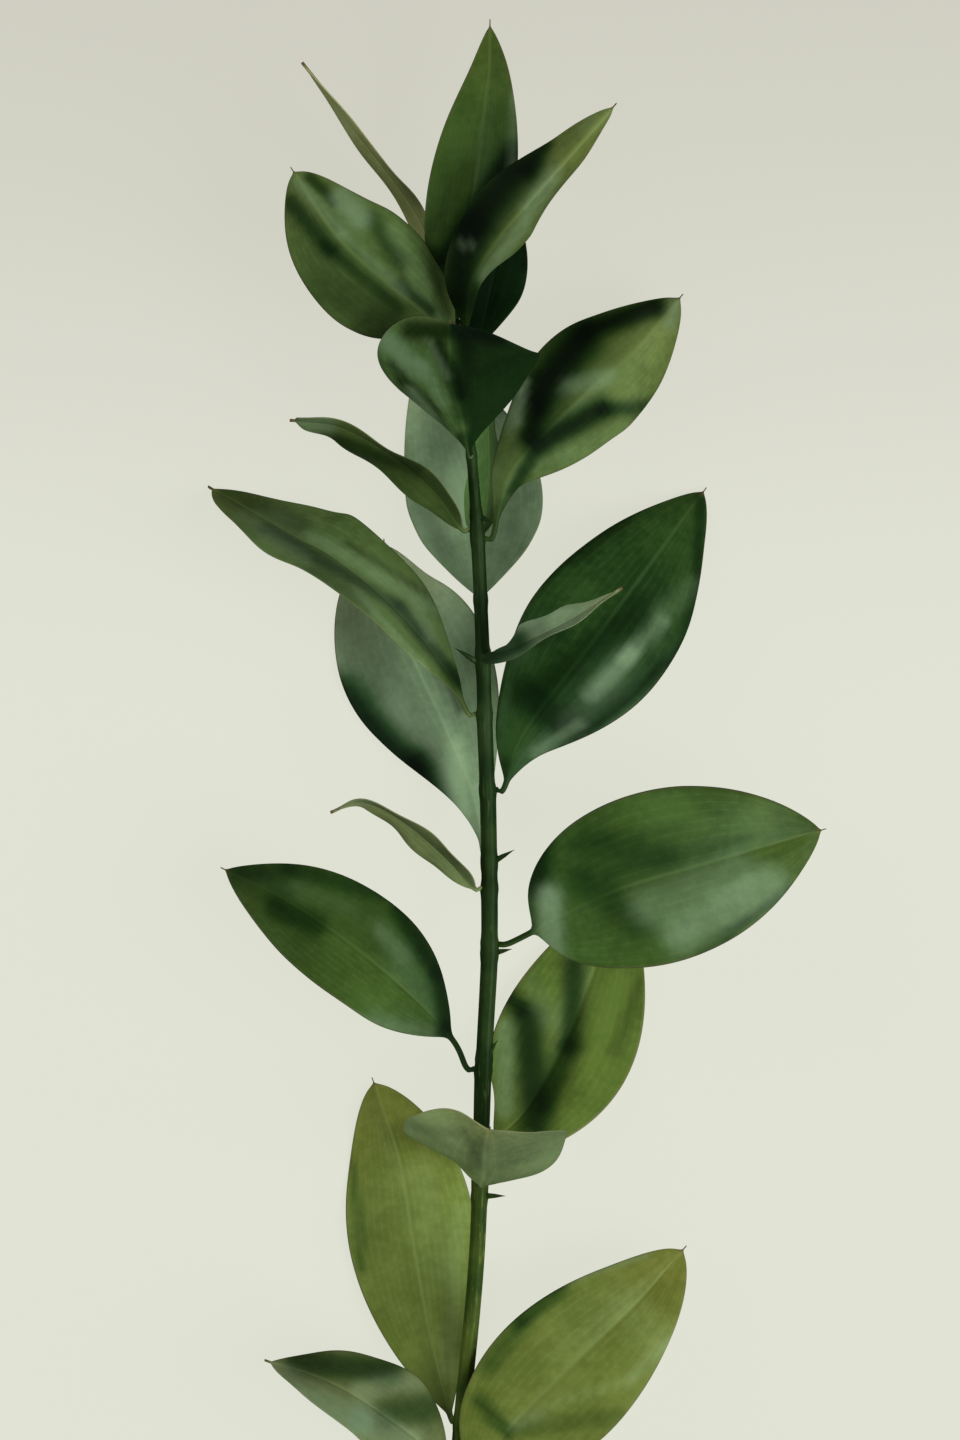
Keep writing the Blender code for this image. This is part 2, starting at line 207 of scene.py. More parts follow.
patternValues = {
    "veins": 9.0, "waver": 0.05, "veinSharpness": 5.0, "hairsPerVein": 4.0, "veinShare": 0.7,
    "faintest": 0.35, "cloudScale": 55.0, "cloudShare": 0.65,
    "grainScale": 420.0, "grainDetail": 3.0, "grainRoughness": 0.6,
    "midribWidth": (0.15, 0.75), "marginWidth": 0.5, "dryTip": (0.965, 0.995),
    # the last range on the next row breaks the painted sheen into patches
    "warmFrom": 0.6, "tipWarmth": 0.35, "sheenPatches": (0.75, 1.2),
    "veinRelief": 0.6, "grainRelief": 0.5, "midribRelief": 0.6,
}
leafFinishes = {
    "deep": {"dark": (0.012, 0.038, 0.007), "light": (0.024, 0.068, 0.014), "vein": (0.045, 0.105, 0.030),
             "midrib": (0.040, 0.090, 0.026), "margin": (0.060, 0.066, 0.030), "tip": (0.110, 0.066, 0.028),
             "roughness": 0.34, "relief": 0.22, "sheen": 0.12},
    "fresh": {"dark": (0.036, 0.086, 0.015), "light": (0.056, 0.128, 0.025), "vein": (0.085, 0.165, 0.045),
              "midrib": (0.075, 0.150, 0.038), "margin": (0.080, 0.095, 0.040),
              "tip": (0.140, 0.084, 0.034), "roughness": 0.35, "relief": 0.22, "sheen": 0.16},
    "mid": {"dark": (0.045, 0.094, 0.024), "light": (0.072, 0.142, 0.038), "vein": (0.100, 0.180, 0.060),
            "midrib": (0.090, 0.165, 0.050), "margin": (0.085, 0.100, 0.045),
            "tip": (0.140, 0.084, 0.034), "roughness": 0.36, "relief": 0.22, "sheen": 0.15},
    "dusty": {"dark": (0.098, 0.150, 0.054), "light": (0.145, 0.215, 0.080), "vein": (0.190, 0.260, 0.115),
              "midrib": (0.170, 0.235, 0.095), "margin": (0.130, 0.145, 0.070),
              "tip": (0.150, 0.095, 0.040), "roughness": 0.45, "relief": 0.26, "sheen": 0.22},
    "olive": {"dark": (0.125, 0.180, 0.028), "light": (0.185, 0.252, 0.050), "vein": (0.230, 0.300, 0.080),
              "midrib": (0.200, 0.270, 0.070), "margin": (0.150, 0.160, 0.060),
              "tip": (0.160, 0.090, 0.032), "roughness": 0.40, "relief": 0.20, "sheen": 0.20},
    "pale": {"dark": (0.130, 0.205, 0.105), "light": (0.195, 0.290, 0.160), "vein": (0.240, 0.340, 0.200),
             "midrib": (0.210, 0.300, 0.165), "margin": (0.130, 0.160, 0.085),
             "tip": (0.140, 0.090, 0.038), "roughness": 0.45, "relief": 0.28, "sheen": 0.24},
    "back": {"dark": (0.110, 0.175, 0.080), "light": (0.160, 0.240, 0.115), "vein": (0.200, 0.280, 0.150),
             "midrib": (0.190, 0.260, 0.130), "margin": (0.120, 0.145, 0.070),
             "tip": (0.140, 0.090, 0.038), "roughness": 0.48, "relief": 0.30, "sheen": 0.22},
}
# The pale colour here is a painted sheen. Where the tone falls below the limit, the dark green tint and the
# extra roughness make painted shade.
finishValues = {
    "markShares": {"Vein": 0.35, "Midrib": 0.6, "Margin": 0.6}, "paintedSheen": (0.24, 0.36, 0.20),
    "warmTint": (1.7, 1.15, 0.95), "paintedShadeTint": (0.50, 0.95, 0.50), "paintedShadeBelow": 0.9,
    "paintedShadeRoughness": 0.40, "rougher": 0.05, "smoother": 0.03,
    "reliefDepth": 0.12, "ior": 1.45, "sheenTint": (0.60, 1.0, 0.66),
}
white = (1.0, 1.0, 1.0)


def makeBladePattern():
    group, start, end = newGroup(
        "bladePattern", [("Veins", patternValues["veins"]), ("Margin Width", patternValues["marginWidth"])],
        ["Vein", "Midrib", "Margin", "Tip", "Mottle", "PaintedLightShade", "PaintedSheen", "Warmth", "Height"])
    split = addNode(group, "ShaderNodeSeparateXYZ")
    wire(group, addNode(group, "ShaderNodeAttribute", attribute_name="bladePlace").outputs["Vector"],
         split.inputs[0])
    side = maths(group, "ABSOLUTE", split.outputs["X"])
    half = split.outputs["Z"]
    coords = addNode(group, "ShaderNodeTexCoord").outputs["Object"]
    clouds = noiseOf(group, coords, patternValues["cloudScale"])
    grain = noiseOf(group, coords, patternValues["grainScale"], patternValues["grainDetail"],
                    patternValues["grainRoughness"])

    # veins run from seat to tip, a few strong ones with fine ones between them
    drift = maths(group, "MULTIPLY", maths(group, "SUBTRACT", clouds, 0.5), patternValues["waver"])
    turns = maths(group, "MULTIPLY", maths(group, "ADD", side, drift),
                  maths(group, "MULTIPLY", start.outputs["Veins"], math.tau))
    strong = maths(group, "MULTIPLY_ADD", maths(group, "COSINE", turns), 0.5, 0.5)
    strong = maths(group, "POWER", strong, patternValues["veinSharpness"])
    finer = maths(group, "COSINE", maths(group, "MULTIPLY", turns, patternValues["hairsPerVein"]))
    hair = maths(group, "MULTIPLY_ADD", finer, 0.5, 0.5)
    vein = maths(group, "MULTIPLY_ADD", strong, patternValues["veinShare"],
                 maths(group, "MULTIPLY", hair, 1.0 - patternValues["veinShare"]))
    broken = rangeOf(group, grain, *narrowNoise, patternValues["faintest"], 1.0)
    vein = maths(group, "MULTIPLY", vein, broken)

    # midrib, margin and dry tip
    fromMidrib = maths(group, "MULTIPLY", side, half)
    toEdge = maths(group, "SUBTRACT", half, fromMidrib)
    nearest, furthest = patternValues["midribWidth"]
    midrib = rangeOf(group, fromMidrib, nearest, furthest, 1.0, 0.0)
    margin = rangeOf(group, toEdge, 0.0, start.outputs["Margin Width"], 1.0, 0.0)
    tip = rangeOf(group, split.outputs["Y"], *patternValues["dryTip"])

    mottle = maths(group, "MULTIPLY_ADD", clouds, patternValues["cloudShare"],
                   maths(group, "MULTIPLY", grain, 1.0 - patternValues["cloudShare"]))
    # the painted light and shade, the painted sheen broken into patches by the mottle, and the yellowing
    # towards the tip
    tones = addNode(group, "ShaderNodeSeparateXYZ")
    wire(group, addNode(group, "ShaderNodeAttribute", attribute_name="bladeShadeSheenWarmth").outputs["Vector"],
         tones.inputs[0])
    patches = rangeOf(group, mottle, *wideNoise, *patternValues["sheenPatches"])
    paintedSheen = maths(group, "MULTIPLY", tones.outputs["Y"], patches)
    warmth = maths(group, "MULTIPLY_ADD", rangeOf(group, split.outputs["Y"], patternValues["warmFrom"], 1.0),
                   patternValues["tipWarmth"], tones.outputs["Z"])
    relief = maths(group, "ADD", maths(group, "MULTIPLY", vein, patternValues["veinRelief"]),
                   maths(group, "MULTIPLY", grain, patternValues["grainRelief"]))
    relief = maths(group, "SUBTRACT", relief,
                   maths(group, "MULTIPLY", midrib, patternValues["midribRelief"]))
    made = {"Vein": vein, "Midrib": midrib, "Margin": margin, "Tip": tip, "Mottle": mottle,
            "PaintedLightShade": tones.outputs["X"], "PaintedSheen": paintedSheen, "Warmth": warmth, "Height": relief}
    for label, source in made.items():
        wire(group, source, end.inputs[label])
    return group


def makeLeafFinish(name, values, bladePattern):
    made, tree, shader = newMaterial("leaf_" + name)
    pattern = addNode(tree, "ShaderNodeGroup", node_tree=bladePattern)
    marks = pattern.outputs
    leafColour = mixColours(tree, rangeOf(tree, marks["Mottle"], *narrowNoise), colour(values["dark"]),
                            colour(values["light"]))
    for mark, share in finishValues["markShares"].items():
        leafColour = mixColours(tree, maths(tree, "MULTIPLY", marks[mark], share), leafColour,
                                colour(values[mark.lower()]))
    warming = mixColours(tree, marks["Warmth"], colour(white), colour(finishValues["warmTint"]))
    leafColour = multiplyColours(tree, leafColour, warming)
    painted = name != "back"  # the strokes leave the usual underside plain
    # Low tone is painted shade: the colour is scaled by the painted light and shade, turned deeper green and
    # rougher where it is dark, and the painted sheen colour is mixed in.
    shade = rangeOf(tree, marks["PaintedLightShade"], 0.0, finishValues["paintedShadeBelow"], float(painted), 0.0)
    if painted:
        leafColour = scaleColour(tree, leafColour, marks["PaintedLightShade"])
        shadeTinting = mixColours(tree, shade, colour(white), colour(finishValues["paintedShadeTint"]))
        leafColour = multiplyColours(tree, leafColour, shadeTinting)
        leafColour = mixColours(tree, marks["PaintedSheen"], leafColour, colour(finishValues["paintedSheen"]))
    leafColour = mixColours(tree, marks["Tip"], leafColour, colour(values["tip"]))
    wire(tree, leafColour, shader.inputs["Base Color"])
    rough = rangeOf(tree, marks["Mottle"], *wideNoise, values["roughness"] + finishValues["rougher"],
                    values["roughness"] - finishValues["smoother"])
    wire(tree, maths(tree, "MULTIPLY_ADD", shade, finishValues["paintedShadeRoughness"], rough),
         shader.inputs["Roughness"])
    bump = addNode(tree, "ShaderNodeBump")
    bump.inputs["Strength"].default_value = values["relief"]
    bump.inputs["Distance"].default_value = finishValues["reliefDepth"] * mm
    wire(tree, marks["Height"], bump.inputs["Height"])
    wire(tree, bump.outputs["Normal"], shader.inputs["Normal"])
    shader.inputs["IOR"].default_value = finishValues["ior"]
    shader.inputs["Specular IOR Level"].default_value = values["sheen"]
    shader.inputs["Specular Tint"].default_value = colour(finishValues["sheenTint"])
    return made


leafPattern = makeBladePattern()
leafMaterials = {name: makeLeafFinish(name, values, leafPattern) for name, values in leafFinishes.items()}
print("leaf finishes made:", len(leafMaterials))


# Stem: a ridged green rod with a swelling at each knot, small scales and a slanting cut. The
# slant runs out over cutReach, and the bark turns browner from woodyFrom down to woodyTo.

stemValues = {
    "route": [  # x, y, z and radius, from the cut to the tip
        (-3.0, -302.0, 2.5, 2.5), (-6.5, -270.0, 5.2, 2.4), (-8.0, -230.0, 8.8, 2.3),
        (-4.8, -180.0, 13.4, 2.15), (-0.8, -135.0, 17.6, 2.05), (0.8, -90.0, 21.4, 2.1),
        (2.4, -50.0, 23.8, 2.1), (1.2, 0.0, 26.0, 1.95), (-0.6, 45.0, 28.0, 1.6),
        (-2.8, 75.0, 29.4, 1.1), (-4.0, 101.5, 31.0, 0.7)],
    "sides": 30, "ringCuts": (100, 2),  # one subdivision makes 100 cuts at most
    "leastRise": 0.001, "cutSlant": 3.1, "cutReach": 9.0, "knotRise": 0.28, "knotReach": 2.4,
    "ridges": 7, "ridgeDepth": 0.035, "ridgeTwist": 0.02,
    "footLength": 16.0, "footTop": 1.5, "footRise": 0.22, "footNarrowness": 6,
    "bark": (0.008, 0.023, 0.004), "barkLight": (0.023, 0.048, 0.010), "barkLine": (0.042, 0.074, 0.019),
    "woodyTint": (3.5, 2.5, 1.8), "woodyFrom": -10.0, "woodyTo": -75.0,
    "cloudScale": 90.0, "cloudRange": (0.35, 0.7), "lineScale": 1500.0, "lineStretch": 0.08,
    "lineDetail": 3.0, "lineRoughness": 0.6, "lineRange": (0.55, 0.75),
    "roughness": (0.5, 0.4), "sheen": 0.12, "relief": 0.4, "reliefDepth": 0.1, "smoothAngle": 50,
    "cutPale": (0.42, 0.44, 0.24), "cutPith": (0.30, 0.34, 0.16), "cutGrainScale": 1400.0,
    "cutRoughness": 0.7, "cutFacing": -0.3,
}
scaleValues = {
    "places": [  # height on the stem, heading in degrees, length, lean
        (-268.0, 28.0, 6.5, 24.0), (-226.0, 150.0, 7.0, 26.0), (-119.5, -52.0, 6.0, 40.0),
        (-85.0, 40.0, 4.5, 30.0), (-36.0, -2.0, 6.0, 30.0), (13.5, 175.0, 7.5, 30.0),
        (-58.5, -20.0, 4.5, 30.0), (51.0, -60.0, 4.0, 30.0)],
    "sides": 12, "bends": (0.0, 0.3),
    "radius": 0.9, "root": 1.2, "lift": 0.35, "belly": 0.25, "flatness": 0.55, "droop": 0.1,
}
stemPath = smoothPath(stemValues["route"])


def stemAt(height):
    share = np.interp(height, stemPath["spots"][:, 1], stemPath["shares"])
    point, direction = alongPath(stemPath, share)
    return point[:3], direction, point[3]


# Leaves, numbered from the tip down. The midrib's points run from the seat on the stem to the
# tip. turn rolls the blade round it at seat, middle and tip, where a plus lifts the right side,
# and fold lifts each half towards the face. seen and back name the finishes of the two faces.
# tones brightens or darkens the left and the right half, as painted light and shade, and warmth is
# the yellowing at seat and tip. Each of strokes is a soft brush stroke seen from above, a painted
# shadow, shade, lit patch or sheen: x and y of its start and its end, its reach, its tone, below 1
# painted shade and above 1 painted light, and how much painted sheen it adds.

leafValues = {
    "rows": 60, "strips": 20, "crowding": 1.25, "stalkHalfWidth": 0.75, "tipHalfWidth": 0.12, "spine": 1.8,
    "midribThickness": 0.85, "edgeThickness": 0.36, "seatGap": 0.4, "seatSink": 0.75,
    "stalkOut": 1.8, "stalkBend": 0.5, "groove": 0.20, "foldRadius": 0.7, "arch": 0.035,
    "ribs": 3.0, "ribRise": 0.05, "halfWaves": 5.5, "edgeShift": 1.1, "fullWaveHalfWidth": 8.0,
    "bumps": 0.45, "bumpsAcross": 1.6, "bumpLength": 11.0, "bumpsApart": 3.7, "thinning": 1.5,
    "toneBlend": 0.12, "strokeEdge": 3,
}
leaves = {
    "leaf_01": {
        "height": 97.0, "width": 20.5, "turn": (74, 80, 80), "fold": (4, 4), "fullness": (1.3, 0.75),
        "midrib": [(-9.4, 105.5, 23.5), (-14.8, 125.5, 16.0), (-31.0, 148.0, 15.0), (-44.8, 165.5, 16.0)],
        "seen": "dusty", "tones": (1.9, 2.0), "warmth": (0.4, 0.7),
        "strokes": [
            (-33, 151, -44, 165, 4, 1.6, 0.4), (-25, 141, -44, 165, 7, 1.2, 0.15),
            (-15, 129, -24, 141, 1, 0.5, 0)]},
    "leaf_02": {
        "height": 99.0, "width": 22.5, "turn": (0, 8, 0), "fold": (8, 8), "fullness": (1.05, 0.8),
        "midrib": [(-5.4, 112.0, 30.5), (-2.2, 129.0, 31.5), (0.2, 145.0, 32.5),
                   (2.3, 160.0, 32.5), (2.5, 174.0, 32.0)],
        "seen": "fresh", "tones": (1.0, 0.85), "warmth": (0.0, 0.5),
        "strokes": [
            (8, 140, -9, 114, 3.5, 0.1, 0), (8.5, 155, 8, 134, 1.3, 1, 0.25)]},
    "leaf_03": {
        "height": 93.0, "width": 28.0, "turn": (-6, -12, -12), "fold": (-50, -60), "fullness": (1.3, 0.8),
        "stalk": 0.1,
        "midrib": [(-2.7, 106.0, 46.0), (4.2, 117.2, 53.0), (13.4, 128.0, 55.0), (33.3, 150.5, 53.0)],
        "seen": "mid", "tones": (1.15, 1.05), "warmth": (0.4, 0.9),
        "strokes": [
            (9, 135, -1, 122, 7, 0.05, 0), (-3, 120, -6, 104, 6, 0.06, 0), (16, 141, 12, 134, 2.5, 0.15, 0),
            (11, 122, 1, 109, 1.6, 1, 0.35), (-4.5, 117, -2, 116, 1.2, 1, 0.2),
            (-1, 104, -2, 98, 4, 0.3, 0), (18, 133, 12, 125, 2, 1, 0.3),
            (26, 145, 31, 149, 2.5, 1.15, 0.1)]},
    "leaf_04": {
        "height": 89.0, "width": 16.5, "turn": (0, -10, -20), "widest": 0.55, "fullness": (1.5, 0.8),
        "midrib": [(0.6, 99.0, 23.0), (3.6, 112.0, 18.0), (6.8, 124.0, 16.0), (10.0, 132.0, 15.0)],
        "seen": "deep", "tones": (0.12, 0.2),
        "strokes": [
            (7, 99, 12, 112, 1.2, 1.6, 0)]},
    "leaf_05": {
        "height": 89.5, "width": 32.0, "turn": (0, 0, 0), "fold": (-20, -20), "widest": 0.5,
        "fullness": (1.05, 0.62), "stalk": 0.06,
        "midrib": [(-11.8, 99.0, 36.0), (-22.6, 107.6, 39.0), (-35.0, 119.0, 40.0), (-46.8, 136.6, 38.0)],
        "seen": "mid", "tones": (1.1, 1.1), "warmth": (0.3, 0.3),
        "strokes": [
            (-45, 133, -34, 120, 1.4, 1, 0.28), (-34, 120, -19, 106, 1.3, 1, 0.22),
            (-47, 128, -37, 116, 2.4, 0.3, 0), (-38, 117, -20, 102, 1.8, 0.4, 0),
            (-42, 134, -36, 128, 1.8, 0.3, 0), (-34, 129, -30, 124, 3.2, 1, 0.5),
            (-27, 124, -20, 113, 2.4, 0.4, 0), (-21, 121, -14, 107, 2.6, 1.35, 0.15),
            (-20, 108, -12, 101, 1.5, 0.3, 0), (-40, 108, -22, 98, 5, 0.65, 0)]},
    "leaf_06": {
        "height": 66.0, "width": 45.0, "turn": (5, 12, 12), "fold": (-30, -20), "widest": 0.58,
        "fullness": (1.35, 0.55), "wave": 0.2,
        "midrib": [(-4.5, 75.0, 43.0), (-7.0, 85.0, 56.0), (-7.2, 96.5, 68.0)],
        "seen": "mid", "tones": (1.8, 0.18),
        "strokes": [
            (-17, 95, 5, 93, 2.6, 0.2, 0), (-24, 94, -15, 86, 2.4, 1.2, 0.7),
            (-14, 87, -9, 78, 1.5, 1.2, 0.5), (-17, 81, -7, 69, 1.5, 1.3, 0.6),
            (-10, 91, -5, 80, 2, 0.2, 0), (-22, 88, -12, 78, 1, 0.3, 0), (-20, 84, -6, 66, 1.1, 0.3, 0),
            (-4, 90, -4, 76, 2.5, 0.4, 0), (-12, 92, -8, 84, 1, 1.1, 0.35), (-11, 77, -6, 67, 0.9, 0.3, 0),
            (-4.5, 70, -3.5, 64, 1.8, 0.3, 0)]},
    "leaf_07": {
        "height": 47.5, "width": 24.0, "turn": (50, 75, 72), "widest": 0.5, "fullness": (0.8, 0.35),
        "midrib": [(-11.0, 57.0, 29.0), (-22.0, 66.0, 31.0), (-34.8, 73.0, 33.0), (-47.3, 74.5, 31.0)],
        "seen": "mid", "tones": (1.3, 1.5), "warmth": (0.3, 0.5),
        "strokes": [
            (-46, 75, -38, 74, 3, 1.2, 0.6), (-38, 71, -15, 62, 2, 0.4, 0), (-12, 60, -4, 51, 2, 0.6, 0)]},
    "leaf_08": {
        "height": 30.0, "width": 35.0, "turn": (0, 0, 0), "fold": (4, 4), "fullness": (1.2, 1.0),
        "midrib": [(-0.5, 45.0, 11.0), (-2.0, 60.0, 3.0), (-8.5, 80.0, 0.6), (-16.0, 101.0, 1.2)],
        "seen": "pale", "back": "mid", "tones": (1.35, 1.05),
        "strokes": [
            (-18, 80, -15, 60, 3, 1.3, 0), (-15, 56, -9, 43, 2.5, 0.75, 0), (-10, 66, -8, 74, 3, 1, 0.15),
            (7, 48, 13, 58, 2, 0.8, 0)]},
    "leaf_09": {
        "height": 46.0, "width": 20.0, "turn": (40, 66, 70),
        "midrib": [(2.4, 57.0, 18.0), (2.6, 71.0, 15.0), (1.5, 86.0, 13.0)],
        "seen": "mid", "tones": (3.0, 1.8)},
    "leaf_10": {
        "height": 45.0, "width": 34.0, "turn": (-4, -12, -12), "fold": (-28, -28), "widest": 0.6,
        "fullness": (1.15, 0.7),
        "midrib": [(5.2, 54.8, 29.0), (9.5, 64.0, 29.0), (27.5, 82.5, 25.0),
                   (40.0, 93.8, 18.0), (51.2, 107.5, 12.0)],
        "seen": "mid", "tones": (1.0, 1.0), "warmth": (0.3, 0.7),
        "strokes": [
            (44, 104, 27, 98, 3.6, 0.05, 0), (25, 95, 14, 81, 6.8, 0.03, 0), (15, 78, 12, 70, 3, 0.08, 0),
            (10.5, 84, 8.5, 74, 1.7, 1, 0.5), (22, 83, 32, 86, 2.2, 1.1, 0.3),
            (38, 82, 44, 98, 5, 1.35, 0.06), (45, 79.5, 31, 78, 2.2, 0.2, 0), (30, 78, 15, 69, 3.2, 0.1, 0),
            (14, 68, 8, 57, 2, 0.25, 0), (36, 73, 22, 66, 3, 1.2, 0.1), (50, 107, 48, 100, 2, 1, 0.3),
            (6, 54, 3, 45, 2, 0.45, 0)]},
    "leaf_11": {
        "height": 1.5, "width": 35.0, "turn": (-42, -57, -52), "widest": 0.55, "fullness": (1.05, 0.8),
        "midrib": [(-8.5, 12.0, 27.0), (-21.5, 27.5, 28.0), (-37.0, 40.5, 24.0),
                   (-48.0, 46.5, 18.0), (-69.3, 59.5, 0.4)],
        "seen": "mid", "tones": (1.55, 1.5), "warmth": (0.35, 0.35),
        "strokes": [
            (-64, 58, -46, 49, 3.5, 0.45, 0), (-50, 46, -12, 22, 9, 1, 0.14),
            (-42, 46, -12, 28, 1.6, 1.1, 0.3), (-33, 44, -10, 29, 1, 0.5, 0),
            (-30, 31, -14, 13, 1, 1.2, 0.3), (-54, 48, -20, 28, 1.7, 0.3, 0), (-21, 29, -5, 9, 2, 0.2, 0),
            (-42, 37, -28, 28, 1.6, 0.55, 0), (-60, 51, -44, 40, 2, 1.1, 0.2),
            (-16, 28, -12, 20, 1.5, 1, 0.3), (-7, 12, -3, 4, 3, 0.4, 0)]},
    "leaf_12": {
        "height": -35.0, "width": 39.0, "turn": (0, 0, 0), "fold": (4, 4), "widest": 0.64,
        "fullness": (1.05, 0.68),
        "midrib": [(-2.2, -18.0, 10.0), (-10.0, 0.5, 2.5), (-18.0, 17.8, 0.3),
                   (-23.5, 32.6, 0.3), (-24.5, 46.2, 1.6)],
        "seen": "pale", "back": "mid", "tones": (1.3, 1.9),
        "strokes": [
            (-35, 7, -17, -14, 6, 0.05, 0), (-16, -11, -11, -22, 4.5, 0.08, 0),
            (-34, 24, -27, 9, 5, 0.65, 0), (-20, 22, -10, -2, 3.2, 1.4, 0), (-7, -6, -4, -28, 2.6, 1.6, 0),
            (-12, 18, -5, 3, 1.3, 0.45, 0)]},
    "leaf_13": {
        "height": -17.5, "width": 39.5, "turn": (0, 2, 0), "fold": (-14, -14), "widest": 0.5,
        "fullness": (1.1, 0.74),
        "midrib": [(11.2, -3.2, 27.0), (28.0, 19.2, 23.0), (43.8, 40.4, 12.0), (57.7, 59.2, 0.4)],
        "seen": "deep", "tones": (1.1, 0.95), "warmth": (0.0, 0.1),
        "strokes": [
            (28, 7, 38, 17, 2.3, 1.1, 0.5), (36, 15, 46, 25, 2, 1.1, 0.35), (45, 26, 54, 34, 3, 1.3, 0.1),
            (56, 36, 51, 19, 1.8, 0.4, 0), (50, 17, 28, -2, 2, 0.35, 0), (16, 8, 40, 28, 4, 0.45, 0),
            (22, 0, 34, 8, 3, 0.6, 0.1), (14, -8, 25, -1, 1.6, 1, 0.3), (11, 6, 22, -2, 4.5, 0.3, 0),
            (24, 32, 46, 50, 7, 1.25, 0), (15, 35, 45, 57, 1.4, 0.5, 0), (56, 56, 55, 38, 1.6, 0.45, 0),
            (6, 12, 4, 0, 2, 1.4, 0), (8, 20, 20, 22, 3, 0.6, 0), (31, 11, 42, 22, 0.6, 0.7, 0),
            (6, -11, 4, -18, 2.5, 0.5, 0)]},
    "leaf_14": {
        "height": 16.5, "width": 20.0, "turn": (60, 72, 76),
        "midrib": [(8.0, 17.5, 38.0), (22.0, 24.2, 43.0), (35.0, 32.5, 43.0)],
        "seen": "pale", "back": "mid", "tones": (2.0, 1.2), "warmth": (0.0, 0.1),
        "strokes": [
            (1, 15, 9, 19, 4, 0.15, 0), (11, 20, 15, 22, 3, 0.6, 0)]},
    "leaf_15": {
        "height": -42.0, "width": 16.0, "turn": (50, 70, 76),
        "midrib": [(-9.0, -33.6, 30.0), (-19.0, -25.0, 33.0), (-29.0, -20.2, 33.0), (-37.2, -23.0, 30.0)],
        "seen": "dusty", "tones": (2.0, 1.3), "warmth": (0.1, 0.4),
        "strokes": [
            (-38, -23, -28, -20, 2.5, 1.1, 0.5)]},
    "leaf_16": {
        "height": -87.5, "width": 30.0, "turn": (-20, -24, -10), "fold": (8, 8), "widest": 0.45,
        "stalk": 0.13,
        "midrib": [(-8.0, -78.5, 24.0), (-25.0, -61.5, 31.0), (-45.0, -47.0, 29.0), (-65.0, -37.0, 20.0)],
        "seen": "fresh", "tones": (0.8, 0.65), "warmth": (0.3, 0.4),
        "strokes": [
            (-60, -38, -48, -37, 3, 0.6, 0), (-48, -37, -25, -43, 2.4, 0.5, 0),
            (-20, -47, -11, -62, 3, 0.25, 0), (-10, -64, -8, -76, 3, 0.2, 0),
            (-46, -42, -32, -47, 2.2, 1, 0.06), (-51, -47, -41, -51, 3.2, 0.35, 0),
            (-64, -37, -50, -43, 4, 0.65, 0), (-9, -78, -2, -88, 3, 0.3, 0),
            (-35, -60, -24, -67, 7, 1.3, 0), (-25, -52, -19, -59, 2.2, 1.1, 0.2),
            (-26, -75, -13, -78, 2, 1, 0.2)]},
    "leaf_17": {
        "height": -56.0, "width": 43.5, "turn": (0, 0, 0), "fold": (6, 6), "fullness": (0.52, 0.72),
        "stalk": 0.12,
        "midrib": [(10.5, -54.2, 26.0), (33.0, -42.6, 32.0), (59.0, -34.8, 32.0), (86.5, -27.2, 24.0)],
        "seen": "fresh", "tones": (0.72, 1.0), "warmth": (0.1, 0.4),
        "strokes": [
            (15, -30, 14, -42, 3.4, 0.2, 0), (36, -23, 68, -24, 6, 1.4, 0),
            (50, -53, 72, -41, 4.8, 1.1, 0.6), (42, -46, 64, -38, 5, 1.1, 0.35),
            (26, -40, 40, -51, 4.5, 0.5, 0), (54, -58, 78, -42, 1.2, 0.5, 0), (24, -31, 60, -23, 1, 0.7, 0),
            (32, -38, 68, -29, 0.9, 0.7, 0), (46, -42, 76, -33, 0.9, 0.75, 0), (3, -56, 12, -53, 2, 0.4, 0),
            (44, -54, 66, -47, 0.8, 0.8, 0), (17, -44, 18, -57, 3.2, 1.2, 0.7),
            (22, -58, 38, -60, 3, 1.25, 0), (76, -42, 60, -55, 1.3, 0.4, 0),
            (26, -30, 46, -34, 3.5, 0.65, 0)]},
    "leaf_18": {
        "height": -106.0, "width": 36.5, "turn": (0, 0, 0), "fold": (8, 6),
        "midrib": [(12.0, -98.0, 10.0), (22.0, -81.0, 2.5), (30.0, -61.0, 0.5), (36.0, -40.0, 2.0)],
        "seen": "fresh", "tones": (1.6, 1.35), "warmth": (0.9, 0.7),
        "strokes": [
            (6, -78, 6, -98, 2.4, 1.1, 0.4), (5, -68, 10, -73, 3, 0.15, 0), (12, -76, 14, -102, 5, 0.12, 0),
            (24, -62, 23, -82, 3.6, 0.18, 0), (13, -66, 17, -76, 2.6, 0.9, 0.1),
            (34, -67, 28, -92, 4, 1.15, 0), (41, -66, 34, -85, 1.6, 0.6, 0),
            (22, -84, 17, -97, 3.5, 0.25, 0)]},
    "leaf_19": {
        "height": -116.0, "width": 45.0, "turn": (0, 0, 0), "fold": (-26, -22), "fullness": (0.8, 0.6),
        "midrib": [(1.0, -112.5, 34.0), (1.2, -105.0, 50.0), (2.5, -98.5, 64.0)],
        "seen": "dusty", "back": "mid", "tones": (2.5, 1.0), "warmth": (0.1, 0.1),
        "strokes": [
            (0, -103, -2, -110, 2.5, 0.6, 0), (-15, -104, -8, -109, 3, 0.8, 0),
            (-18, -100, -6, -101, 1.6, 0.75, 0), (5, -110, 20, -106, 1.5, 0.8, 0),
            (-4, -100, 2, -112, 1.2, 0.7, 0), (-18, -103, 18, -104, 12, 1, 0.15),
            (8, -102, 20, -101, 2.5, 1.1, 0.05)]},
    "leaf_20": {
        "height": -177.0, "width": 33.0, "turn": (0, 0, 0), "fold": (4, 4), "widest": 0.55,
        "fullness": (0.8, 0.64),
        "midrib": [(-12.5, -158.0, 5.0), (-17.0, -133.0, 0.8), (-20.5, -112.0, 0.4), (-27.5, -91.0, 2.0)],
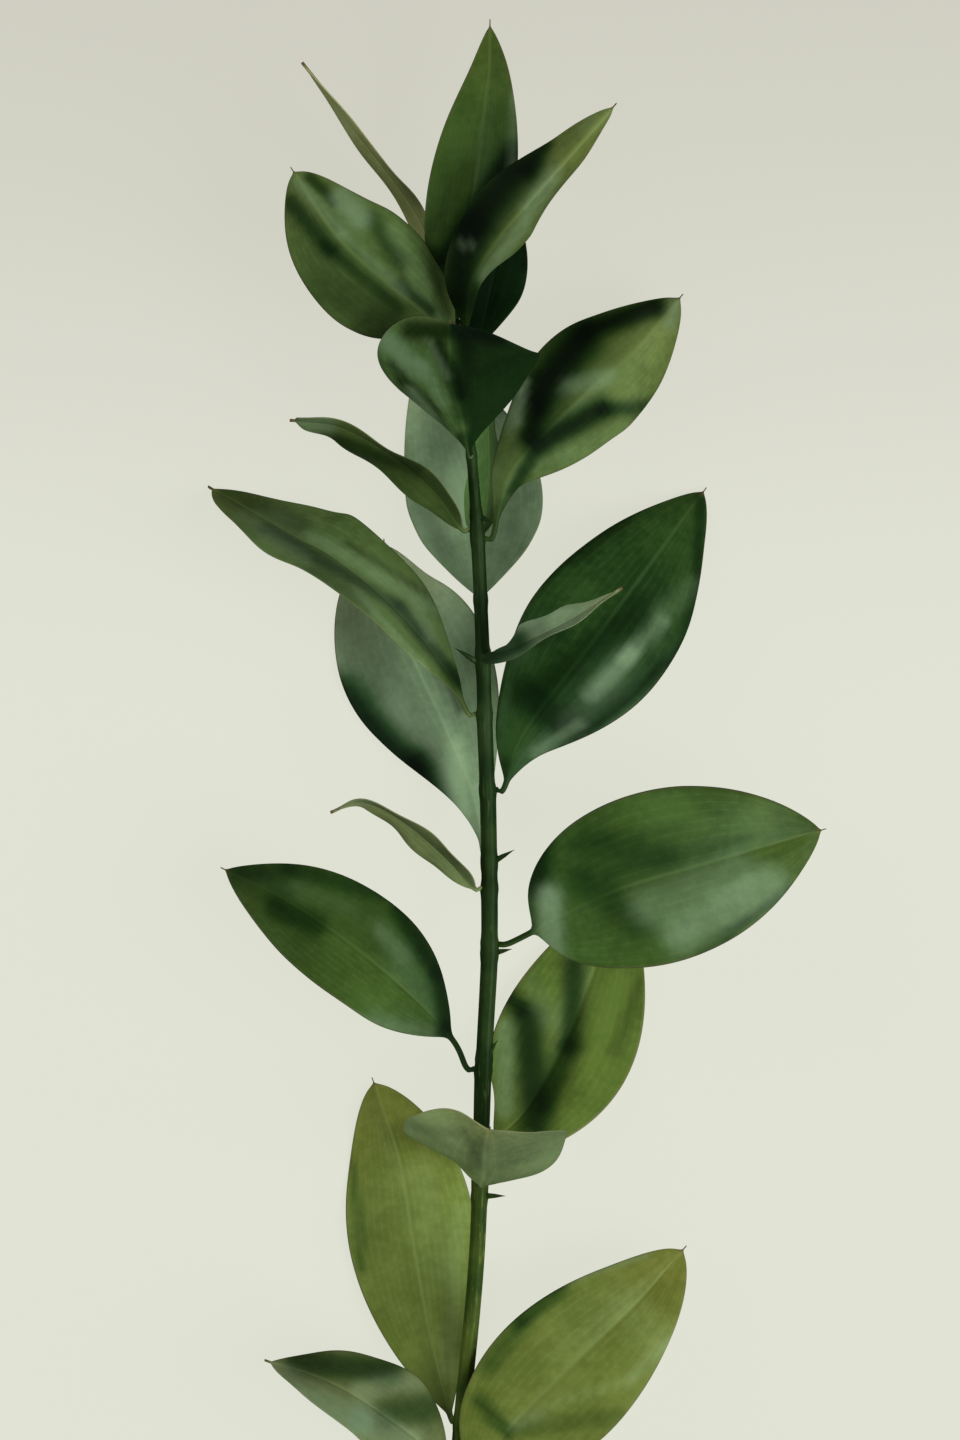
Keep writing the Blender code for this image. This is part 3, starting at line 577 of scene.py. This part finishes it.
        "seen": "olive", "tones": (0.95, 1.3),
        "strokes": [
            (-20, -105, -5, -109, 4, 0.7, 0), (-29, -120, -25, -150, 4, 0.85, 0),
            (-15, -116, -10, -142, 4.5, 1.1, 0.12), (-5, -125, -8, -165, 2.2, 1.1, 0.2),
            (-32.5, -113, -30, -140, 1.3, 0.55, 0), (-13, -165, -10, -176, 4, 0.8, 0)]},
    "leaf_21": {
        "height": -188.0, "width": 30.0, "turn": (-30, -52, -52),
        "midrib": [(-19.0, -178.0, 22.0), (-36.0, -166.5, 25.0), (-54.0, -160.4, 21.0)],
        "seen": "dusty", "tones": (1.0, 0.75), "warmth": (0.4, 0.4),
        "strokes": [
            (-46, -161, -22, -164, 3.2, 0.3, 0), (-54, -163, -30, -174, 3.2, 1.3, 0.6),
            (-30, -174, -18, -181, 3, 1.2, 0.5), (-30, -168, -15, -166, 2.6, 1.2, 0.25),
            (-24, -174, -10, -173, 4, 0.45, 0)]},
    "leaf_22": {
        "height": -191.0, "width": 37.0, "turn": (0, 4, 0), "fold": (6, 6), "fullness": (0.9, 0.64),
        "midrib": [(7.8, -177.5, 18.0), (24.2, -160.8, 20.0), (40.0, -146.2, 15.0), (52.2, -133.0, 10.0)],
        "seen": "olive", "tones": (0.85, 0.9), "warmth": (0.1, 0.1),
        "strokes": [
            (10, -151, 20, -142, 2.6, 0.3, 0), (2, -162, 10, -151, 2.8, 0.5, 0),
            (22, -140, 42, -134.5, 1.4, 1, 0.3), (38, -149, 45, -157, 5, 1.15, 0.1),
            (18, -172, 38, -165, 1.1, 1.2, 0.15), (38, -165, 48, -156, 1.4, 1.1, 0.2),
            (12, -178, 34, -174, 2.4, 0.65, 0), (0, -171, 7, -179, 2.2, 0.4, 0),
            (9, -177, 15, -174, 1.8, 1, 0.2)]},
}
usualLeaf = {"fold": (10, 10), "widest": 0.43, "fullness": (0.9, 0.8), "stalk": 0.03, "wave": 0.5,
             "seen": "deep", "back": "back", "tones": (1.0, 1.0), "warmth": (0.0, 0.0), "strokes": []}


def leafPath(leaf):  # the midrib's curve, and its start sunk into the stem's knot
    centre, direction, radius = stemAt(leaf["height"])
    outward = np.array(leaf["midrib"][0]) - centre
    outward = unit(outward - direction * outward.dot(direction))
    seat = centre + outward * (radius + stemValues["knotRise"] + leafValues["seatGap"])
    onward = unit(np.array(leaf["midrib"][0]) - seat)
    bend = seat + leafValues["stalkOut"] * unit(outward + leafValues["stalkBend"] * onward)
    return smoothPath([seat, bend] + leaf["midrib"]), seat - outward * leafValues["seatSink"]


def halfWidth(leaf, length, share):
    stalkHalf, tipHalf = leafValues["stalkHalfWidth"], leafValues["tipHalfWidth"]
    if share <= leaf["stalk"]:
        return stalkHalf
    blade = (share - leaf["stalk"]) / (1.0 - leaf["stalk"])
    drawn = min(blade / (1.0 - leafValues["spine"] / length), 1.0)
    power = math.log(0.5) / math.log(leaf["widest"])
    fullness = leaf["fullness"][0] + (leaf["fullness"][1] - leaf["fullness"][0]) * drawn
    swell = max(math.sin(math.pi * drawn ** power), 0.0) ** fullness
    return max(0.5 * leaf["width"] * swell, stalkHalf + (tipHalf - stalkHalf) * blade)


def turnAt(leaf, share):
    seat, middle, tip = leaf["turn"]
    return math.radians(seat * (1 - share) * (1 - 2 * share) + middle * 4 * share * (1 - share)
                        + tip * share * (2 * share - 1))


def bladeRow(leaf, number, path, share):  # points and places across the blade, left to right
    point, direction = alongPath(path, share)
    right = unit(np.cross(direction, (0.0, 0.0, 1.0)))
    face = np.cross(right, direction)
    turn = turnAt(leaf, share)
    right, face = (math.cos(turn) * right + math.sin(turn) * face,
                   math.cos(turn) * face - math.sin(turn) * right)
    half = halfWidth(leaf, path["length"], share)
    blend = min(half / leafValues["fullWaveHalfWidth"], 1.0)
    middle = leafValues["strips"] // 2
    spots = np.zeros((2 * middle + 1, 3))
    places = np.zeros((2 * middle + 1, 3))
    spots[middle] = point - face * leafValues["groove"] * blend
    places[middle] = (0.0, share, half)
    for side, fold in ((-1, leaf["fold"][0]), (1, leaf["fold"][1])):
        ripple = math.sin(leafValues["halfWaves"] * math.pi * share
                          + side * leafValues["edgeShift"] + leaf["height"])
        spot = point
        before = 0.0
        for strip in range(1, middle + 1):
            out = (strip / middle) ** leafValues["crowding"]
            angle = math.radians(fold * (1 - math.exp(-out * half / leafValues["foldRadius"])))
            outward = side * math.cos(angle) * right + math.sin(angle) * face
            normal = math.cos(angle) * face - side * math.sin(angle) * right
            spot = spot + outward * (out - before) * half
            bump = noise.noise(Vector((side * out * leafValues["bumpsAcross"] + number,
                                       share * path["length"] / leafValues["bumpLength"],
                                       number * leafValues["bumpsApart"])))
            lift = leaf["wave"] * ripple * out ** 2 + leafValues["arch"] * half * 4 * out * (1 - out)
            lift += leafValues["ribRise"] * math.cos(math.tau * leafValues["ribs"] * out)
            lift += leafValues["bumps"] * out * bump
            spots[middle + side * strip] = spot + normal * lift * blend
            places[middle + side * strip] = (side * out, share, half)
            before = out
    return spots, places


def paintBlade(leaf, spots, places):  # painted light and shade, painted sheen and warmth of every point
    across, share = places[:, 0], places[:, 1]
    left, right = leaf["tones"]
    lightShade = left + (right - left) * (0.5 + 0.5 * np.tanh(across / leafValues["toneBlend"]))
    paintedSheen = np.zeros(len(places))
    for startX, startY, endX, endY, reach, strokeLightShade, strokeSheen in leaf["strokes"]:
        start = np.array((startX, startY))
        onward = np.array((endX, endY)) - start
        offset = spots[:, :2] - start
        travel = np.clip(offset @ onward / (onward @ onward), 0.0, 1.0)
        gap = np.linalg.norm(offset - np.outer(travel, onward), axis=1)
        press = np.exp(-(gap / reach) ** leafValues["strokeEdge"])
        lightShade *= 1.0 + (strokeLightShade - 1.0) * press
        paintedSheen += strokeSheen * press
    atSeat, atTip = leaf["warmth"]
    return np.column_stack([lightShade, np.clip(paintedSheen, 0.0, 1.0), atSeat + (atTip - atSeat) * share])


def shapeBlade(blade, leaf, number):  # the flat grid's rows run from seat to tip
    path, sunkSeat = leafPath(leaf)
    mesh = blade.data
    grid = readPoints(mesh)
    rows, strips = leafValues["rows"], leafValues["strips"]
    columns = np.rint((grid[:, 0] + 1) / 2 * strips).astype(int)
    levels = np.rint((grid[:, 1] + 1) / 2 * rows).astype(int)
    made = [bladeRow(leaf, number, path, 0.5 - 0.5 * math.cos(math.pi * row / rows))
            for row in range(rows + 1)]
    made[0][0][:] += sunkSeat - path["spots"][0]
    spots = np.array([row[0] for row in made])[levels, columns]
    places = np.array([row[1] for row in made])[levels, columns]
    writePoints(mesh, toFrame(spots))
    for label, values in (("bladePlace", places), ("bladeShadeSheenWarmth", paintBlade(leaf, spots, places))):
        attribute = mesh.attributes.new(label, "FLOAT_VECTOR", "POINT")
        attribute.data.foreach_set("vector", values.ravel())
    corners = np.zeros(len(mesh.loops), int)
    mesh.loops.foreach_get("vertex_index", corners)
    flat = np.column_stack([0.5 + 0.5 * places[:, 0], places[:, 1]])
    mesh.uv_layers.active.data.foreach_set("uv", flat[corners].ravel())
    group = blade.vertex_groups.new(name="thick")
    for index, out in enumerate(np.abs(columns - strips // 2) / (strips // 2)):
        group.add([index], (1.0 - out) ** leafValues["thinning"], "REPLACE")


def growLeaf(name, number):
    leaf = {**usualLeaf, **leaves[name]}
    deselectAll()
    bpy.ops.mesh.primitive_grid_add(x_subdivisions=leafValues["strips"], y_subdivisions=leafValues["rows"],
                                    size=2.0)
    blade = bpy.context.object
    blade.name = blade.data.name = name.replace("leaf", "blade")
    shapeBlade(blade, leaf, number)
    blade.data.materials.append(leafMaterials[leaf["seen"]])
    blade.data.materials.append(leafMaterials[leaf["back"]])
    thickest, thinnest = leafValues["midribThickness"], leafValues["edgeThickness"]
    applyModifier(blade, "SOLIDIFY", thickness=thickest * mm, offset=0.0, vertex_group="thick",
                  thickness_vertex_group=thinnest / thickest, material_offset=1, material_offset_rim=0)
    applyModifier(blade, "SUBSURF", levels=1, render_levels=1)
    points = readPoints(blade.data)
    points[:, 2] = np.maximum(points[:, 2], 0.0)  # nothing sinks below the floor
    writePoints(blade.data, points)
    blade.data.shade_smooth()
    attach(blade, "root")
    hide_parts(name)
    return blade


blades = [growLeaf(name, number) for number, name in enumerate(leaves, 1)]
print("leaves grown:", len(blades))


def makeStemFinish():
    made, tree, shader = newMaterial("stem_green")
    coords = addNode(tree, "ShaderNodeTexCoord").outputs["Object"]
    stretched = addNode(tree, "ShaderNodeMapping")
    stretched.inputs["Scale"].default_value = (1.0, stemValues["lineStretch"], 1.0)
    wire(tree, coords, stretched.inputs["Vector"])
    lines = noiseOf(tree, stretched.outputs["Vector"], stemValues["lineScale"],
                    stemValues["lineDetail"], stemValues["lineRoughness"])
    clouds = noiseOf(tree, coords, stemValues["cloudScale"])
    clouded = mixColours(tree, rangeOf(tree, clouds, *stemValues["cloudRange"]),
                         colour(stemValues["bark"]), colour(stemValues["barkLight"]))
    lined = mixColours(tree, rangeOf(tree, lines, *stemValues["lineRange"]), clouded,
                       colour(stemValues["barkLine"]))
    split = addNode(tree, "ShaderNodeSeparateXYZ")
    wire(tree, coords, split.inputs[0])
    green = rangeOf(tree, split.outputs["Y"], stemValues["woodyTo"] * mm, stemValues["woodyFrom"] * mm)
    tint = mixColours(tree, green, colour(stemValues["woodyTint"]), colour(white))
    wire(tree, multiplyColours(tree, lined, tint), shader.inputs["Base Color"])
    wire(tree, rangeOf(tree, clouds, *wideNoise, *stemValues["roughness"]), shader.inputs["Roughness"])
    shader.inputs["Specular IOR Level"].default_value = stemValues["sheen"]
    shader.inputs["Specular Tint"].default_value = colour(finishValues["sheenTint"])
    bump = addNode(tree, "ShaderNodeBump")
    bump.inputs["Strength"].default_value = stemValues["relief"]
    bump.inputs["Distance"].default_value = stemValues["reliefDepth"] * mm
    wire(tree, lines, bump.inputs["Height"])
    wire(tree, bump.outputs["Normal"], shader.inputs["Normal"])
    return made


def makeCutFinish():
    made, tree, shader = newMaterial("stem_cut")
    coords = addNode(tree, "ShaderNodeTexCoord").outputs["Object"]
    grain = noiseOf(tree, coords, stemValues["cutGrainScale"])
    wood = mixColours(tree, rangeOf(tree, grain, *narrowNoise), colour(stemValues["cutPith"]),
                      colour(stemValues["cutPale"]))
    wire(tree, wood, shader.inputs["Base Color"])
    shader.inputs["Roughness"].default_value = stemValues["cutRoughness"]
    return made


def footAt(height, around, direction, knots):  # how far the stem swells below a leaf's seat
    rise = 0.0
    for knot, outward in knots:
        below = knot - height
        if -stemValues["footTop"] < below < stemValues["footLength"]:
            facing = max(around.dot(unit(outward - direction * outward.dot(direction))), 0.0)
            fade = min(1.0 - below / stemValues["footLength"], 1.0 + below / stemValues["footTop"])
            rise += stemValues["footRise"] * facing ** stemValues["footNarrowness"] * fade
    return rise


def shapeStem(stem):  # bends a straight rod along the route, with its ridges, knots and feet
    low, high = stemValues["route"][0][1], stemValues["route"][-1][1]
    endRadius = stemValues["route"][0][3]
    knots = [(leaf["height"], np.array(leaf["midrib"][0]) - stemAt(leaf["height"])[0])
             for leaf in leaves.values()]
    heights = [knot[0] for knot in knots] + [place[0] for place in scaleValues["places"]]
    points = []
    for x, y, z in readPoints(stem.data):
        height = low + (z + 0.5) * (high - low)
        centre, direction, radius = stemAt(height)
        side = unit(np.cross(direction, (0.0, 0.0, 1.0)))
        up = np.cross(side, direction)
        angle = math.atan2(y, x)
        around = math.cos(angle) * side + math.sin(angle) * up
        near = min(abs(height - knot) for knot in heights)
        radius += stemValues["knotRise"] * max(0.0, 1.0 - near / stemValues["knotReach"])
        ridge = math.cos(stemValues["ridges"] * angle + height * stemValues["ridgeTwist"])
        radius *= 1.0 + stemValues["ridgeDepth"] * (ridge - 1.0)
        radius += footAt(height, around, direction, knots)
        atMiddle = math.hypot(x, y) < 0.5  # the point in the middle of each end
        spot = centre if atMiddle else centre + radius * around
        slant = stemValues["cutSlant"] * max(1.0 - (height - low) / stemValues["cutReach"], 0.0)
        spot = spot - (0.0, slant * (spot[0] - centre[0]) / endRadius, 0.0)
        points.append(spot)
    points = toFrame(points)
    points[:, 2] = np.maximum(points[:, 2], 0.0)
    writePoints(stem.data, points)


def makeScales():  # small pointed scales that stand off the knots, each a bent, flattened cone
    made = []
    for height, heading, length, lean in scaleValues["places"]:
        centre, direction, radius = stemAt(height)
        side = unit(np.cross(direction, (0.0, 0.0, 1.0)))
        up = np.cross(side, direction)
        turn, tilt = math.radians(heading), math.radians(lean)
        out = unit(math.cos(turn) * side + scaleValues["lift"] * up + math.sin(turn) * direction)
        point = unit(math.cos(tilt) * out + math.sin(tilt) * direction)
        deselectAll()
        bpy.ops.mesh.primitive_cone_add(vertices=scaleValues["sides"], radius1=1.0, radius2=0.0,
                                        depth=1.0)
        scale = bpy.context.object
        bpy.ops.object.mode_set(mode="EDIT")
        for level in scaleValues["bends"]:
            bpy.ops.mesh.select_all(action="SELECT")
            bpy.ops.mesh.bisect(plane_co=(0, 0, level), plane_no=(0, 0, 1))
        bpy.ops.object.mode_set(mode="OBJECT")
        cone = readPoints(scale.data)
        across = unit(np.cross(point, up))
        thick = np.cross(across, point)
        root = centre + point * (radius - scaleValues["root"])
        share = cone[:, 2:3] + 0.5
        wide = scaleValues["radius"] * (1.0 + scaleValues["belly"] * np.sin(math.pi * share))
        bent = cone[:, 1:2] * wide * scaleValues["flatness"] + scaleValues["droop"] * share ** 2 * length
        spots = (root + point * share * (length + scaleValues["root"]) + across * cone[:, 0:1] * wide
                 + thick * bent)
        writePoints(scale.data, toFrame(spots))
        made.append(scale)
    deselectAll()
    for scale in made:
        scale.select_set(True)
    bpy.context.view_layer.objects.active = made[0]
    bpy.ops.object.join()
    return made[0]


def cutAlong(rod, cuts):  # cuts every edge that runs along the rod, which adds rings
    bpy.ops.object.mode_set(mode="EDIT")
    bpy.ops.mesh.select_all(action="DESELECT")
    bpy.ops.object.mode_set(mode="OBJECT")
    for edge in rod.data.edges:
        a, b = (rod.data.vertices[index].co for index in edge.vertices)
        edge.select = bool(abs(a.z - b.z) > stemValues["leastRise"])
    bpy.ops.object.mode_set(mode="EDIT")
    bpy.ops.mesh.subdivide(number_cuts=cuts)
    bpy.ops.object.mode_set(mode="OBJECT")


def makeStem():
    deselectAll()
    bpy.ops.mesh.primitive_cylinder_add(vertices=stemValues["sides"], radius=1.0, depth=1.0,
                                        end_fill_type="TRIFAN")
    stem = bpy.context.object
    stem.name = stem.data.name = "stemRod"
    bpy.context.tool_settings.mesh_select_mode = (False, True, False)
    for cuts in stemValues["ringCuts"]:
        cutAlong(stem, cuts)
    bpy.context.tool_settings.mesh_select_mode = (True, False, False)
    shapeStem(stem)
    stem.data.materials.append(makeStemFinish())
    stem.data.materials.append(makeCutFinish())
    scales = makeScales()
    scales.data.materials.append(stem.data.materials[0])
    applyModifier(stem, "BOOLEAN", operation="UNION", solver="EXACT", object=scales)
    bpy.data.objects.remove(scales, do_unlink=True)
    cutEnd = (stemValues["route"][0][1] + leafyMiddle[1] + stemValues["cutSlant"]) * mm
    for face in stem.data.polygons:
        onCut = face.center.y < cutEnd and face.normal.y < stemValues["cutFacing"]
        face.material_index = int(onCut)
    workOn(stem)
    bpy.ops.object.shade_smooth_by_angle(angle=math.radians(stemValues["smoothAngle"]))
    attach(stem, "root")
    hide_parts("stem")
    return stem


stem = makeStem()
print("stem made:", len(stem.data.polygons), "faces")


# Floor, light and camera. The floor shines only for the camera, so it casts no light of its
# own on the leaves, and it darkens a little towards the tip.

stageValues = {
    "floorSize": 6.0, "floorColour": (0.05, 0.051, 0.046), "floorRoughness": 0.9, "glow": 1.0,
    "glowLow": (0.693, 0.707, 0.610), "glowHigh": (0.564, 0.555, 0.480), "glowFrom": 60.0, "glowTo": 280.0,
    "keyPlace": (2.3, -0.9, 2.3), "keySize": 2.6, "keyPower": 120.0,
    "fillPlace": (-2.2, 1.4, 1.5), "fillSize": 2.2, "fillPower": 36.0,
    "worldColour": (1.0, 1.0, 0.97), "worldStrength": 0.12, "skyColour": (0.74, 0.76, 0.67),
    "aimHeight": 20.0, "cameraAbove": 1224.0, "lens": 120.0, "sensor": 36.0,
}


def makeFloor():
    deselectAll()
    bpy.ops.mesh.primitive_plane_add(size=stageValues["floorSize"], location=(0, 0, 0))
    floor = bpy.context.object
    floor.name = "floor"
    made, tree, shader = newMaterial("floor")
    shader.inputs["Base Color"].default_value = colour(stageValues["floorColour"])
    shader.inputs["Roughness"].default_value = stageValues["floorRoughness"]
    split = addNode(tree, "ShaderNodeSeparateXYZ")
    wire(tree, addNode(tree, "ShaderNodeTexCoord").outputs["Object"], split.inputs[0])
    upward = rangeOf(tree, split.outputs["Y"], stageValues["glowFrom"] * mm, stageValues["glowTo"] * mm)
    graded = mixColours(tree, upward, colour(stageValues["glowLow"]), colour(stageValues["glowHigh"]))
    seen = addNode(tree, "ShaderNodeLightPath").outputs["Is Camera Ray"]
    wire(tree, mixColours(tree, seen, colour((0, 0, 0)), graded), shader.inputs["Emission Color"])
    shader.inputs["Emission Strength"].default_value = stageValues["glow"]
    floor.data.materials.append(made)


def makeLight(name):
    place = Vector(stageValues[name + "Place"])
    bpy.ops.object.light_add(type="AREA", location=place)
    light = bpy.context.object
    light.name = name
    light.data.shape = "SQUARE"
    light.data.size = stageValues[name + "Size"]
    light.data.energy = stageValues[name + "Power"]
    target = Vector((leafyMiddle[0], leafyMiddle[1], stageValues["aimHeight"])) * mm
    light.rotation_euler = (target - place).to_track_quat("-Z", "Y").to_euler()


def makeCamera():
    place = (leafyMiddle[0] * mm, leafyMiddle[1] * mm, stageValues["cameraAbove"] * mm)
    bpy.ops.object.camera_add(location=place, rotation=(0.0, 0.0, 0.0))
    camera = bpy.context.object
    camera.data.lens = stageValues["lens"]
    camera.data.sensor_width = stageValues["sensor"]
    bpy.context.scene.camera = camera


def makeWorld():
    world = bpy.data.worlds.new("studio")
    world.use_nodes = True
    tree = world.node_tree
    back = tree.nodes["Background"]
    seen = addNode(tree, "ShaderNodeLightPath").outputs["Is Camera Ray"]
    dim = [channel * stageValues["worldStrength"] for channel in stageValues["worldColour"]]
    wire(tree, mixColours(tree, seen, colour(dim), colour(stageValues["skyColour"])), back.inputs["Color"])
    back.inputs["Strength"].default_value = 1.0
    bpy.context.scene.world = world


makeFloor()
deselectAll()
makeLight("key")
makeLight("fill")
makeCamera()
makeWorld()
bpy.context.scene.view_settings.view_transform = "Standard"
print("floor, light and camera placed")
